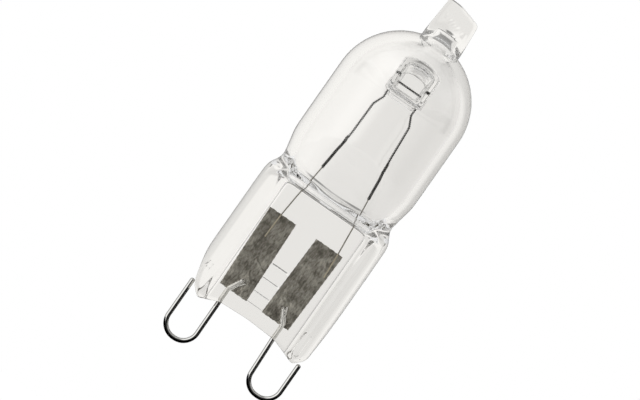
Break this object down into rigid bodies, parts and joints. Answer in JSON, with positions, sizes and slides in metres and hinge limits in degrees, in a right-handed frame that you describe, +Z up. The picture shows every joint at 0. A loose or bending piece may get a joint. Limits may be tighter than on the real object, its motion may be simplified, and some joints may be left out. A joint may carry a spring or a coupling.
{
  "type": "halogen capsule bulb",
  "caption": "Clear quartz capsule lamp with a round bulb, a flat pressed pinch and looped wire pins, which plugs into a lampholder and gives light from a coiled filament",
  "frame": {"origin": "the middle of the pressed web's lower edge, between the two looped pins", "axes": "+Z up the lamp's axis to its exhaust tip, X across the flat pinch through both pins, the front of the pinch faces -Y"},
  "size_m": [0.0144, 0.014, 0.043],
  "materials": {
    "quartz_glass": "clear",
    "foil": "matt",
    "pin_wire": "bright drawn",
    "lead_wire": "drawn",
    "filament_wire": "wound wire"
  },
  "bodies": {
    "root": {"envelope": "quartz_glass", "foil_left": "foil", "foil_right": "foil", "pin_left": "pin_wire", "pin_right": "pin_wire", "inner_lead_left": "lead_wire", "inner_lead_right": "lead_wire", "leg_sleeve_left": "filament_wire", "leg_sleeve_right": "filament_wire", "filament": "filament_wire"}
  },
  "joints": []
}
